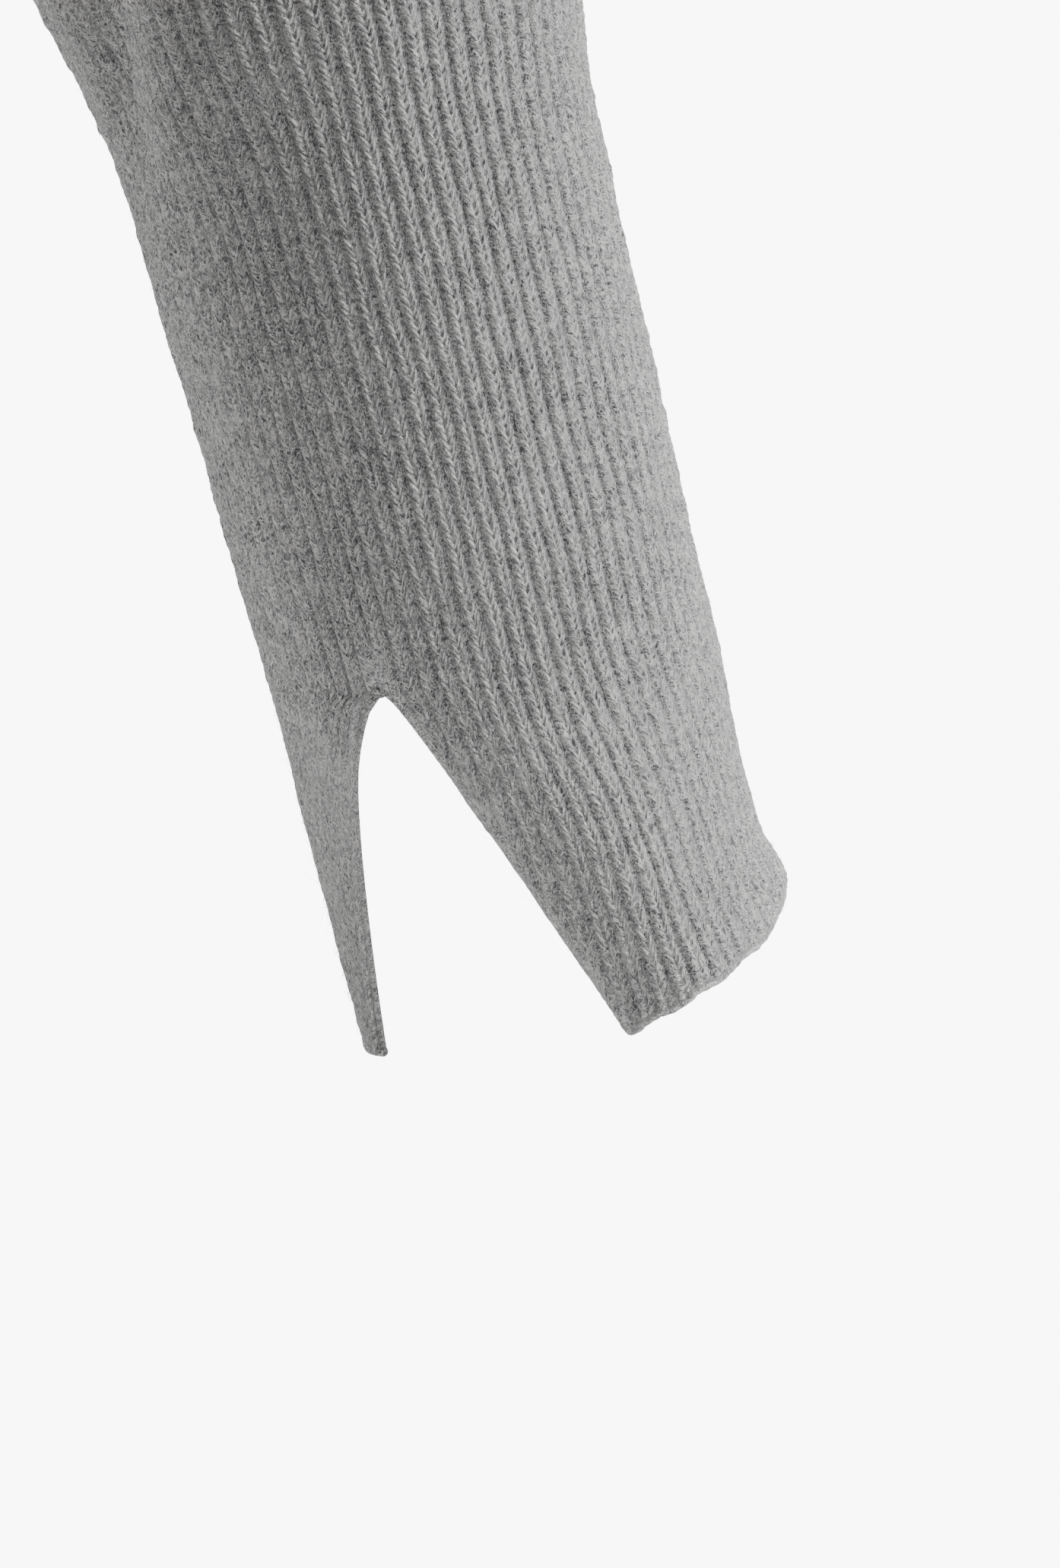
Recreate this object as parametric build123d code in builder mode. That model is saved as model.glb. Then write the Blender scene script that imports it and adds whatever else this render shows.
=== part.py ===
from build123d import *
import os
from math import atan2, copysign, cos, pi, radians, sin

os.makedirs("parts", exist_ok=True)

# A long fingerless knitted glove, stored hanging: its axis is Z, the arm opening is at the
# top and the hand end points down. +X is the back of the hand, -X the palm and the thumb,
# -Y the edge by the first finger and +Y the edge by the little finger.
# The origin is the centre of the arm opening. All sizes are in millimetres.

# ---- heights of the zones, down from the arm opening ----
WELT_HEIGHT = 14
FOREARM_END = -118
FLEX_END = -150  # the wrist bends forwards and backwards above this height
BAND_END = -158
TILT_END = -178  # the wrist tilts sideways above this height
CROTCH = -198  # where the thumb stall leaves the hand
GUSSET_END = CROTCH - 18
THUMB_BAND_END = CROTCH - 24
KNUCKLE_END = CROTCH - 40
THUMB_TIP = CROTCH - 64
HEM_BACK = CROTCH - 60.5  # the hand hem's height at the back of the hand
HEM_PALM = CROTCH - 64.5  # and at the palm, where the edge hangs a little lower

# ---- thickness and clearance ----
WALL = 2.0  # ribbed fabric, one layer
THUMB_WALL = 1.2  # the finer thumb stall, drawn out thin
GAP = 0.4  # between zones that move against each other

# ---- radii of the round sleeve, outside ----
OPENING_R = 43.2
FOREARM_TOP_R = 43.6
FOREARM_END_R = 39.2
CROTCH_R = 36.7
# The sleeve swells towards the elbow and is drawn in again by the elastic welt.
FOREARM_SWELL = [(-40, 46.5), (-62, 47.4), (-80, 45.2), (-99, 41.3)]

# ---- flattened stalls below the crotch ----
CHORD_X = -19.25  # where the sleeve divides, palm side
HAND_HEM_PALM_X = 5.5
HAND_HEM_BACK_X = 35.8
HAND_HEM_HALF_BREADTH = 39.0
THUMB_OUTER_X = -36.7
THUMB_ROOT_HALF_BREADTH = 31.0
THUMB_TIP_X = -33.3
THUMB_TIP_HALF_BREADTH = 12.0
HAND_HEM_MIDDLE_X = 17.0  # where the hand part is broadest, at its hem
OUTLINE_POINTS = 28

# How each outline changes from the crotch to the hem. A power of 2 is an ellipse, and a
# higher one is boxier. An ease below 1 puts more of the change near the crotch.
HAND_PALM_POWERS = (6, 3.2)
THUMB_OUTER_POWERS = (1.8, 2.4)
THUMB_INNER_POWERS = (3.5, 2.4)
HAND_PALM_EASE = 0.84
THUMB_DEPTH_EASE = 0.48
THUMB_BREADTH_EASE = 0.9

# ---- edges, threads and trim ----
HEM_R = 1.7
THUMB_HEM_R = 1.5
THUMB_HEM_SWELL = 0.5
HEM_BITE = 0.6  # how far a rolled edge closes over the wall that it finishes
ELASTIC_R = 0.5
ELASTIC_TOP = -3.6
ELASTIC_RINGS = 3
ELASTIC_PITCH = 2.6
WELT_LAYER = 1.5
WELT_POCKET = 1.3
SEAM_R = 1.2
SEAM_BITE = 0.3
SEAM_START = -WELT_HEIGHT - 2.5
LABEL = (14, 0.6, 30)  # width, thickness and height
LABEL_TOP = -WELT_HEIGHT - 4
LABEL_ANGLE = 62  # degrees round from +X, beside the seam
LABEL_STANDOFF = 2.4  # from the fabric to the label's middle
BAR_TACK = (2.4, 1.7, 0.9)
BAR_TACK_INSET = 2
TACK_R = 0.6
TACK_ROWS = 3
TACK_PITCH = 1.8
TACK_LENGTH = 5
TACK_TAPER = 1.2  # how much shorter each row of the tack is than the one below it


def sleeve_radius(z):
    """Outside radius of the straight, tapering sleeve between forearm and crotch."""
    share = (z - CROTCH) / (FOREARM_END - CROTCH)
    return CROTCH_R + share * (FOREARM_END_R - CROTCH_R)


def mix(a, b, share):
    return a + (b - a) * share


def outline(x_low, x_mid, x_high, half_breadth, low_power, high_power, inset):
    """Points round a flattened tube: widest at x_mid, boxier where a power is higher."""
    points = []
    for k in range(OUTLINE_POINTS):
        angle = 2 * pi * k / OUTLINE_POINTS
        c, s = cos(angle), sin(angle)
        power = high_power if c > 0 else low_power
        reach = (x_high - x_mid if c > 0 else x_mid - x_low) - inset
        x = x_mid + copysign(reach * abs(c) ** (2 / power), c)
        y = copysign((half_breadth - inset) * abs(s) ** (2 / power), s)
        points.append((x, y))
    return points


def hand_outline(z, inset):
    """The hand part: nearly flat towards the thumb, round over the back of the hand."""
    share = (CROTCH - z) / (CROTCH - HEM_PALM)
    return outline(
        mix(CHORD_X + GAP / 2, HAND_HEM_PALM_X, share ** HAND_PALM_EASE),
        mix(0, HAND_HEM_MIDDLE_X, share),
        mix(CROTCH_R, HAND_HEM_BACK_X, share),
        mix(CROTCH_R, HAND_HEM_HALF_BREADTH, share),
        mix(*HAND_PALM_POWERS, share),
        2,
        inset,
    )


def thumb_outline(z, inset):
    """The thumb stall: a wide shallow root that narrows to a small flat tip."""
    share = (CROTCH - z) / (CROTCH - THUMB_TIP)
    outer = mix(-CROTCH_R, THUMB_OUTER_X, share)
    inner = mix(CHORD_X - GAP / 2, THUMB_TIP_X, share ** THUMB_DEPTH_EASE)
    return outline(
        outer,
        mix(inner - 3, (outer + inner) / 2, share),
        inner,
        mix(THUMB_ROOT_HALF_BREADTH, THUMB_TIP_HALF_BREADTH, share ** THUMB_BREADTH_EASE),
        mix(*THUMB_OUTER_POWERS, share),
        mix(*THUMB_INNER_POWERS, share),
        inset,
    )


def thumb_mouth(z, inset):
    """The thumb's small flat opening, the same shape through the depth of its hem."""
    return thumb_outline(THUMB_TIP, inset)


def sections(shape, top, bottom, inset, count=4):
    """Faces of a flattened tube at evenly spaced heights, for a loft."""
    faces = []
    for k in range(count):
        z = mix(top, bottom, k / (count - 1))
        with BuildSketch(Plane.XY.offset(z)) as section:
            with BuildLine():
                Spline(*shape(z, inset), periodic=True)
            make_face()
        faces.append(section.sketch.face())
    return faces


def ring_profile(top, bottom, top_r, bottom_r, wall):
    """Cross-section of a tapering ring, in the XZ plane, to be revolved about Z."""
    with BuildSketch(Plane.XZ) as profile:
        with BuildLine():
            Polyline(
                (top_r - wall, top),
                (top_r, top),
                (bottom_r, bottom),
                (bottom_r - wall, bottom),
                close=True,
            )
        make_face()
    return profile.sketch


def sleeve_ring(top, bottom):
    return ring_profile(top, bottom, sleeve_radius(top), sleeve_radius(bottom), WALL)


def finish(piece, name):
    piece.part.label = name
    export_step(piece.part, f"parts/{name}.step")


# ======================= the arm: welt and forearm =======================

# The welt is the fabric folded over on itself; its inner layer stops short of the sleeve.
welt_inner_r = OPENING_R - 2 * WELT_LAYER - WELT_POCKET
with BuildPart() as arm_welt:
    with BuildSketch(Plane.XZ):
        with BuildLine():
            Polyline(
                (OPENING_R, -WELT_HEIGHT),
                (OPENING_R, 0),
                (welt_inner_r, 0),
                (welt_inner_r, -WELT_HEIGHT + 1),
                (welt_inner_r + WELT_LAYER, -WELT_HEIGHT + 1),
                (welt_inner_r + WELT_LAYER, -WELT_LAYER),
                (OPENING_R - WELT_LAYER, -WELT_LAYER),
                (OPENING_R - WELT_LAYER, -WELT_HEIGHT),
                close=True,
            )
        make_face()
    revolve(axis=Axis.Z)
    fold = arm_welt.edges().group_by(Axis.Z)[-1]
    fillet(fold, WELT_LAYER * 0.9)
finish(arm_welt, "arm_welt")

# Covered elastic threads laid round inside the folded welt.
pocket_mid_r = welt_inner_r + WELT_LAYER + WELT_POCKET / 2
with BuildPart() as welt_elastic:
    for ring in range(ELASTIC_RINGS):
        with BuildSketch(Plane.XZ):
            with Locations((pocket_mid_r, ELASTIC_TOP - ring * ELASTIC_PITCH)):
                Circle(ELASTIC_R)
    revolve(axis=Axis.Z)
finish(welt_elastic, "welt_elastic")

# The linking thread that closes the welt's inner edge, a chain round the inside.
with BuildPart() as welt_linking:
    with BuildSketch(Plane.XZ):
        with Locations((welt_inner_r + WELT_LAYER / 2, -WELT_HEIGHT + 0.4)):
            Circle(WELT_LAYER / 2)
    revolve(axis=Axis.Z)
finish(welt_linking, "welt_linking")

forearm_outside = [(FOREARM_TOP_R, -WELT_HEIGHT)]
forearm_outside += [(r, z) for z, r in FOREARM_SWELL]
forearm_outside += [(FOREARM_END_R, FOREARM_END)]
forearm_inside = [(r - WALL, z) for r, z in forearm_outside]
with BuildPart() as forearm_tube:
    with BuildSketch(Plane.XZ):
        with BuildLine():
            Spline(*forearm_outside)
            Line(forearm_outside[-1], forearm_inside[-1])
            Spline(*forearm_inside)
            Line(forearm_inside[0], forearm_outside[0])
        make_face()
    revolve(axis=Axis.Z)
finish(forearm_tube, "forearm_tube")


def seam_path(points, side):
    """Path of a linked seam down the inside of the sleeve, at the little finger's edge."""
    return [(0, side * (r - WALL - SEAM_R + SEAM_BITE), z) for r, z in points]


def sweep_cord(path_points, radius):
    """A round thread along a smooth path of points."""
    with BuildLine() as path:
        Spline(*path_points)
    start = Plane(path.line @ 0, z_dir=path.line % 0)
    with BuildSketch(start) as section:
        Circle(radius)
    return section.sketch, path.line


arm_seam_points = [(FOREARM_TOP_R, SEAM_START)] + forearm_outside[1:]
with BuildPart() as arm_seam:
    seam_section, seam_line = sweep_cord(seam_path(arm_seam_points, 1), SEAM_R)
    sweep(seam_section, path=seam_line)
finish(arm_seam, "arm_seam")

# The care label: a blank folded ribbon, held at its top by two bar tacks.
label_width, label_thick, label_height = LABEL
label_r = FOREARM_TOP_R - WALL - LABEL_STANDOFF
label_angle = radians(LABEL_ANGLE)
label_frame = Plane(
    origin=(label_r * cos(label_angle), label_r * sin(label_angle), LABEL_TOP - label_height / 2),
    x_dir=(-sin(label_angle), cos(label_angle), 0),
    z_dir=(0, 0, 1),
)
with BuildPart(label_frame) as care_label:
    Box(label_width, label_thick, label_height)
    fillet(care_label.edges().filter_by(Axis.Z), label_thick * 0.4)
finish(care_label, "care_label")

bar_tack_x = label_width / 2 - BAR_TACK_INSET
bar_tack_y = -label_thick / 2 - BAR_TACK[1] / 2 - 0.05
bar_tack_z = label_height / 2 - BAR_TACK_INSET
with BuildPart(label_frame) as label_stitches:
    with Locations((-bar_tack_x, bar_tack_y, bar_tack_z), (bar_tack_x, bar_tack_y, bar_tack_z)):
        Box(*BAR_TACK)
finish(label_stitches, "label_stitches")

# ======================= the wrist =======================

with BuildPart() as wrist_flex_fabric:
    add(sleeve_ring(FOREARM_END - GAP, FLEX_END))
    revolve(axis=Axis.Z)
finish(wrist_flex_fabric, "wrist_flex_fabric")

with BuildPart() as wrist_band:
    add(sleeve_ring(FLEX_END, BAND_END))
    revolve(axis=Axis.Z)
finish(wrist_band, "wrist_band")

with BuildPart() as wrist_tilt_fabric:
    add(sleeve_ring(BAND_END, TILT_END))
    revolve(axis=Axis.Z)
finish(wrist_tilt_fabric, "wrist_tilt_fabric")

wrist_seam_points = [
    (sleeve_radius(z), z)
    for z in (FOREARM_END - GAP, (FLEX_END + BAND_END) / 2, TILT_END)
]
with BuildPart() as wrist_seam:
    seam_section, seam_line = sweep_cord(seam_path(wrist_seam_points, 1), SEAM_R)
    sweep(seam_section, path=seam_line)
finish(wrist_seam, "wrist_seam")

# ======================= the hand =======================

with BuildPart() as palm_tube:
    add(sleeve_ring(TILT_END - GAP, CROTCH))
    revolve(axis=Axis.Z)
finish(palm_tube, "palm_tube")


def hem_height(x):
    """Height of the hand hem's centre line, lower at the palm than at the back."""
    share = (HAND_HEM_BACK_X - x) / (HAND_HEM_BACK_X - HAND_HEM_PALM_X)
    return mix(HEM_BACK, HEM_PALM, share)


hem_plane = Plane(
    origin=(HAND_HEM_BACK_X, 0, HEM_BACK),
    x_dir=(HAND_HEM_BACK_X - HAND_HEM_PALM_X, 0, HEM_BACK - HEM_PALM),
    z_dir=(HEM_PALM - HEM_BACK, 0, HAND_HEM_BACK_X - HAND_HEM_PALM_X),
)
with BuildPart() as hand_tube:
    loft(sections(hand_outline, CROTCH, HEM_PALM - 4, 0))
    loft(sections(hand_outline, CROTCH, HEM_PALM - 4, WALL), mode=Mode.SUBTRACT)
    split(bisect_by=hem_plane.offset(HEM_R - HEM_BITE), keep=Keep.TOP)
finish(hand_tube, "hand_tube")

# The bound-off edge rolls on itself, so it is a little thicker than the wall it finishes.
hem_loop = [
    (x, y, hem_height(x)) for x, y in hand_outline((HEM_BACK + HEM_PALM) / 2, WALL / 2)
]
with BuildPart() as hand_hem:
    with BuildLine() as hand_hem_line:
        Spline(*hem_loop, periodic=True)
    hem_start = Plane(hand_hem_line.line @ 0, z_dir=hand_hem_line.line % 0)
    with BuildSketch(hem_start):
        Circle(HEM_R)
    sweep(path=hand_hem_line.line)
finish(hand_hem, "hand_hem")

hand_seam_points = [
    (sleeve_radius(TILT_END - GAP), TILT_END - GAP),
    (CROTCH_R, CROTCH),
    (mix(CROTCH_R, HAND_HEM_HALF_BREADTH, 0.5), (CROTCH + HEM_PALM) / 2),
    (HAND_HEM_HALF_BREADTH, HEM_BACK + 3),
]
with BuildPart() as hand_seam:
    hand_seam_path = seam_path(hand_seam_points, 1)
    hand_seam_path = [
        (mix(0, HAND_HEM_MIDDLE_X, max(0, (CROTCH - z) / (CROTCH - THUMB_TIP))), y, z)
        for x, y, z in hand_seam_path
    ]
    seam_section, seam_line = sweep_cord(hand_seam_path, SEAM_R)
    sweep(seam_section, path=seam_line)
finish(hand_seam, "hand_seam")

# Closing stitches across the top of the crotch, front and back, against a hole there.
crotch_angle = atan2(THUMB_ROOT_HALF_BREADTH, CHORD_X)
with BuildPart() as crotch_tack:
    for side in (1, -1):
        for row in range(TACK_ROWS):
            height = CROTCH + 2 + row * TACK_PITCH
            tack_r = sleeve_radius(height) + TACK_R / 2
            length = TACK_LENGTH - row * TACK_TAPER
            along = Plane(
                origin=(tack_r * cos(crotch_angle), side * tack_r * sin(crotch_angle), height),
                x_dir=(0, 0, 1),
                z_dir=(-sin(crotch_angle), side * cos(crotch_angle), 0),
            )
            with BuildSketch(along.offset(-length / 2)):
                Circle(TACK_R)
            extrude(amount=length)
finish(crotch_tack, "crotch_tack")

# ======================= the thumb =======================

with BuildPart() as thumb_gusset:
    loft(sections(thumb_outline, CROTCH - GAP, GUSSET_END, 0))
    loft(sections(thumb_outline, CROTCH - GAP, GUSSET_END, THUMB_WALL), mode=Mode.SUBTRACT)
finish(thumb_gusset, "thumb_gusset")

with BuildPart() as thumb_band:
    loft(sections(thumb_outline, GUSSET_END, THUMB_BAND_END, 0, 3))
    loft(sections(thumb_outline, GUSSET_END, THUMB_BAND_END, THUMB_WALL, 3), mode=Mode.SUBTRACT)
finish(thumb_band, "thumb_band")

with BuildPart() as thumb_knuckle:
    loft(sections(thumb_outline, THUMB_BAND_END, KNUCKLE_END, 0))
    loft(sections(thumb_outline, THUMB_BAND_END, KNUCKLE_END, THUMB_WALL), mode=Mode.SUBTRACT)
finish(thumb_knuckle, "thumb_knuckle")

stall_bottom = THUMB_TIP + THUMB_HEM_R - HEM_BITE
with BuildPart() as thumb_stall:
    loft(sections(thumb_outline, KNUCKLE_END - GAP, stall_bottom, 0))
    loft(sections(thumb_outline, KNUCKLE_END - GAP, stall_bottom, THUMB_WALL), mode=Mode.SUBTRACT)
finish(thumb_stall, "thumb_stall")

# The thumb's bound-off edge, a soft roll a little thicker than the wall it finishes.
def hem_swell(z, inset):
    """The thumb's outline, let out by the roll's thickness at this height."""
    bulge = THUMB_HEM_SWELL * (1 - ((z - THUMB_TIP) / THUMB_HEM_R) ** 2)
    return thumb_outline(THUMB_TIP, inset - bulge)


hem_top, hem_bottom = THUMB_TIP + THUMB_HEM_R, THUMB_TIP - THUMB_HEM_R
with BuildPart() as thumb_hem:
    loft(sections(hem_swell, hem_top, hem_bottom, 0, 5))
    loft(sections(thumb_mouth, hem_top, hem_bottom, THUMB_WALL, 2), mode=Mode.SUBTRACT)
finish(thumb_hem, "thumb_hem")
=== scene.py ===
import math
from math import pi

import bpy
import numpy as np
from mathutils import Matrix, Vector


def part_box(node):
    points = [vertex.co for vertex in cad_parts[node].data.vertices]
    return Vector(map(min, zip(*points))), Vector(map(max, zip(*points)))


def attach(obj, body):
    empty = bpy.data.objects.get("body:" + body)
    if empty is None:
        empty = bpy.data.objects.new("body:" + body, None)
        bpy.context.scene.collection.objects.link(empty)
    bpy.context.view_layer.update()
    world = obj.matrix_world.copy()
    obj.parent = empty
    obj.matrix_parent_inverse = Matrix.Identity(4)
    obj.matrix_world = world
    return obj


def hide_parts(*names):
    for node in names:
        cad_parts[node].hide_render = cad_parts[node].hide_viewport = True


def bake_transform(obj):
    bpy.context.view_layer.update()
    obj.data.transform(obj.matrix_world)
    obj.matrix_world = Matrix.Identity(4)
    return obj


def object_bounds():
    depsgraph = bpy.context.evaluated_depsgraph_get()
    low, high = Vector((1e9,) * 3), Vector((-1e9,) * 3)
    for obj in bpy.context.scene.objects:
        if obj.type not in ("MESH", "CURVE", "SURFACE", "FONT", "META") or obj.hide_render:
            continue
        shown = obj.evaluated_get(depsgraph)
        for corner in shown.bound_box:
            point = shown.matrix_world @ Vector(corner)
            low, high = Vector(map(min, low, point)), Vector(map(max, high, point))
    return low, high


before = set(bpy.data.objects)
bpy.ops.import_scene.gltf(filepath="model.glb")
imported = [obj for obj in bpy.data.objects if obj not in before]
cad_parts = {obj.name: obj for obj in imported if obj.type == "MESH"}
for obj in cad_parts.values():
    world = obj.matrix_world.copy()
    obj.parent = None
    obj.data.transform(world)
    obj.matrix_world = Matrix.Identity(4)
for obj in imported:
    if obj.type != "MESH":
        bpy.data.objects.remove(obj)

CAD_BOX = [list(corner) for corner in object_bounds()]

# A long fingerless glove in fine ribbed heather wool. Its axis is Z, the arm opening is at the
# top, -X is the palm and thumb and -Y faces the camera. Lengths are in millimetres until a mesh
# is made, and the camera, lights and floor are in metres. The knitting is drawn in two
# coordinates: w counts the rib's repeats round the glove, and v counts the stitch rows down it.
# A stitch row's strands climb to both sides, so r, which is constant along a strand, is used
# beside v. A share runs from 0 at one end of something to 1 at the other.
MM = 0.001

# ===== places taken from the frame =====

BOX_MM = {name: np.array([list(corner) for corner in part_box(name)]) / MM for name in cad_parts}
WELT_Z = BOX_MM["forearm_tube"][1][2]
CROTCH_Z = BOX_MM["hand_tube"][1][2]
BAND_Z = BOX_MM["wrist_band"][:, 2].mean()
FLEX_TOP_Z = BOX_MM["wrist_flex_fabric"][1][2]
TILT_END_Z = BOX_MM["wrist_tilt_fabric"][0][2]
HEM_LOW, HEM_HIGH = BOX_MM["hand_hem"]
THUMB_LOW, THUMB_HIGH = BOX_MM["thumb_hem"]
THUMB_BAND_Z = BOX_MM["thumb_band"][:, 2].mean()
KNUCKLE_END_Z = BOX_MM["thumb_knuckle"][0][2]

# ===== the knit's sizes =====

REPEATS = 70
HAND_OUTER = 47  # repeats that run on from the sleeve into the hand part
THUMB_OUTER = REPEATS - HAND_OUTER
INNER = 18  # repeats in each of the two walls that face the gap
CROTCH_COURSE = 136
COURSE = -CROTCH_Z / CROTCH_COURSE  # the height of a stitch row
REPEAT = 3.4  # the rib's repeat round the sleeve
HAND_LAST = CROTCH_COURSE + 42
THUMB_LAST = CROTCH_COURSE + 43
ROWS = 4  # mesh rows in a stitch row
WALL = 2.0
THUMB_WALL = 1.2
PURL_DEPTH = 0.35  # how far the ribs show on the inside
INSIDE_OFFSET = 300  # stitch rows between the yarn patterns of the outside and the inside

# Across one repeat: a broad leg, a groove, a narrow leg and the sunken furrow.
COLUMN = np.array([-0.5, -0.40, -0.32, -0.20, -0.09, 0.0, 0.09, 0.18, 0.30])
CROWN = np.array([0.0, 0.30, 0.86, 1.0, 0.86, 0.46, 0.84, 0.86, 0.28])
LEG = np.array([0.2, 0.55, 0.95, 1.0, 0.95, 0.55, 0.75, 0.75, 0.45])
CLIMB = np.array([1.4, 1.25, 1.15, 0.68, 0.27, 0.0, 0.5, 1.05, 1.55])  # in stitch rows
MOST_CLIMB = 1.55
RIB_DEPTH = 0.66
STRAND = 0.46  # how far a strand stands off its rib
DEEPEST = RIB_DEPTH + STRAND
STRAND_CURVE = 0.7  # below 1 makes the strands rounder and the gaps between them sharper

# Unevenness: the noise's cells in repeats and in stitch rows, and its seed.
DENTS_BROAD, DENTS_FINE = (10, 24, 5), (5, 10, 6)
SWAY_FINE, SWAY_BROAD = (1.25, 4.5, 21), (3.5, 15, 22)
RISE_FINE, RISE_BROAD = (0.7, 1.7, 23), (5, 9, 24)
STITCH_SIZE = (0.45, 1.1, 11)
YARN_SHORT, YARN_LONG = (2.6, 1.2, 12), (0.9, 6, 15)
BULGE_BROAD, BULGE_FINE = (3, 8, 13), (0.6, 1.6, 14)
HEM_SCALLOP, HEM_STITCH = (2.3, 1, 31), (0.6, 1, 32)

# ===== outlines below the crotch =====

HEM_TUBE = 1.05
THUMB_HEM_TUBE = 0.9
HEM_PALM_X = HEM_LOW[0] + 1.2
HEM_BACK_X = HEM_HIGH[0] - 0.7
HEM_HALF_BREADTH = HEM_HIGH[1] - 0.4
HEM_BACK_Z = CROTCH_Z - 56.0
HEM_PALM_Z = CROTCH_Z - 64.5
THUMB_TIP_Z = THUMB_LOW[2] + 1.4
THUMB_TIP_IN_X = THUMB_HIGH[0] - 1.1
THUMB_OUT_X = THUMB_LOW[0] + 0.5
THUMB_TIP_HALF = THUMB_HIGH[1] - 0.5
THUMB_TIP_DROP = 1.3  # how much lower the tip's outer side hangs
HEM_MIDDLE_X = 17  # where the hand part is broadest at its hem
HEM_PALM_REACH = 26
HEM_FLARE = 1.9
HEM_RISE = 1.3  # how far the hem bows up between the palm and the back
HAND_WAIST = 0.6
OUTLINE_SAMPLES = 720
OUTLINE_DEPTHS = 90
ARC_SAMPLES, WALL_SAMPLES = 300, 100


def mix(a, b, share):
    return a + (b - a) * share


def smooth(x):
    x = np.clip(x, 0, 1)
    return x * x * (3 - 2 * x)


def unit(vectors):
    return vectors / np.maximum(np.linalg.norm(vectors, axis=-1, keepdims=True), 1e-9)


def value_noise(u, v, seed, cells=1 << 20):
    """Smooth noise from -1 to 1 on a unit grid, which repeats along u after this many cells."""
    table = np.random.default_rng(seed).uniform(-1, 1, (128, 256))
    iu, iv = np.floor(u).astype(int), np.floor(v).astype(int)
    fu, fv = smooth(u - iu), smooth(v - iv)
    a, b = iu % cells % 128, (iu + 1) % cells % 128
    c, d = iv % 256, (iv + 1) % 256
    return mix(mix(table[a, c], table[b, c], fu), mix(table[a, d], table[b, d], fu), fv)


def full_turn(count):
    return np.linspace(0, 2 * pi, count, endpoint=False)


def across(w, shape):
    """One of the shapes across a repeat, at any w."""
    return np.interp(w - np.round(w), np.append(COLUMN, 0.5), np.append(shape, shape[0]))


def bumps(phase, curve=STRAND_CURVE):
    """Rounded bumps with sharp gaps between them, one for each whole number of the phase."""
    return np.abs(np.sin(pi * phase)) ** curve


def round_noise(w, v, size, rows, seed):
    """Noise that closes round the sleeve, in cells of about size repeats by rows stitch rows."""
    cells = round(REPEATS / size)
    return value_noise(w / REPEATS * cells, v / rows, seed, cells)


# ===== the base surfaces =====


def sleeve_profile():
    """Heights and outside radii of the sleeve, from the CAD nodes' own points, smoothed."""
    names = ("forearm_tube", "wrist_flex_fabric", "wrist_band", "wrist_tilt_fabric", "palm_tube")
    co = np.array([v.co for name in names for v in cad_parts[name].data.vertices]) / MM
    radius = np.hypot(co[:, 0], co[:, 1])
    rows = {}
    for z, r in zip(np.round(co[:, 2], 1), radius):
        rows[z] = max(rows.get(z, 0), r)
    known = np.array(sorted(rows))
    known_r = np.array([rows[z] for z in known])
    outside = known_r > np.interp(known, known[[0, -1]], known_r[[0, -1]]) - 1.0
    z = np.arange(CROTCH_Z - 20, WELT_Z + 20.5, 0.5)
    r = np.interp(z, known[outside], known_r[outside])
    reach = 10  # samples to each side of the smoothing window
    window = np.hanning(2 * reach + 1)
    return z[reach:-reach], np.convolve(r, window / window.sum(), "valid")


PROFILE_Z, PROFILE_R = sleeve_profile()
CROTCH_R = np.interp(CROTCH_Z, PROFILE_Z, PROFILE_R)
CHORD_ANGLE = pi * HAND_OUTER / REPEATS
CHORD_X = CROTCH_R * math.cos(CHORD_ANGLE)
CHORD_HALF = CROTCH_R * math.sin(CHORD_ANGLE)
FOLD_W = -29.0  # the soft fold in the loose upper sleeve, towards the camera's left
FOLD_LEAN = 0.09  # repeats that it moves round for each millimetre of height
FOLD_MIDDLE_Z = -90
FOLD_DEPTH = 4.6
FOLD_REACH = 2.1
SWELL, SWELL_PLACE, SWELL_REACH = 0.4, 5, 2.6  # the fabric stands out beside the fold


def slouch(w, z):
    """The soft dents and bulges of worn fabric, deeper towards the loose upper end."""
    loose = smooth((z + 125) / 60)
    broad = round_noise(w, z, *DENTS_BROAD)
    fine = round_noise(w, z, *DENTS_FINE)
    dents = mix(0.2, 1.1, loose) * broad + mix(0.15, 0.4, loose) * fine - 0.25
    place = w - FOLD_W - FOLD_LEAN * (z - FOLD_MIDDLE_Z)
    place = (place + REPEATS / 2) % REPEATS - REPEATS / 2
    fold = np.exp(-((place / FOLD_REACH) ** 2))
    fold = fold - SWELL * np.exp(-(((place - SWELL_PLACE) / SWELL_REACH) ** 2))
    fade = smooth((z + 122) / 38) * smooth((-22 - z) / 25)
    return (dents - FOLD_DEPTH * fold * fade) * smooth((z - CROTCH_Z - 14) / 24)


def sleeve(w, v):
    z = -v * COURSE
    angle = 2 * pi * w / REPEATS
    radius = np.interp(z, PROFILE_Z, PROFILE_R) + slouch(w, z)
    return np.stack([radius * np.cos(angle), radius * np.sin(angle), z], -1)


def even_loop(loop):
    """A closed outline with its points evenly spaced from its first point."""
    closed = np.vstack([loop, loop[:1]])
    along = line_length(closed)
    wanted = np.linspace(0, along[-1], OUTLINE_SAMPLES, endpoint=False)
    return np.stack([np.interp(wanted, along, closed[:, k]) for k in (0, 1)], -1)


def round_corners(loop, reach):
    """A closed, evenly spaced outline with its corners rounded over about reach millimetres."""
    length = np.linalg.norm(np.diff(loop, axis=0, append=loop[:1]), axis=1).sum()
    waves = np.fft.fftfreq(len(loop), 1 / len(loop))
    fade = np.exp(-2 * (pi * waves * reach / length) ** 2)
    return np.fft.ifft(np.fft.fft(loop, axis=0) * fade[:, None], axis=0).real


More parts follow.
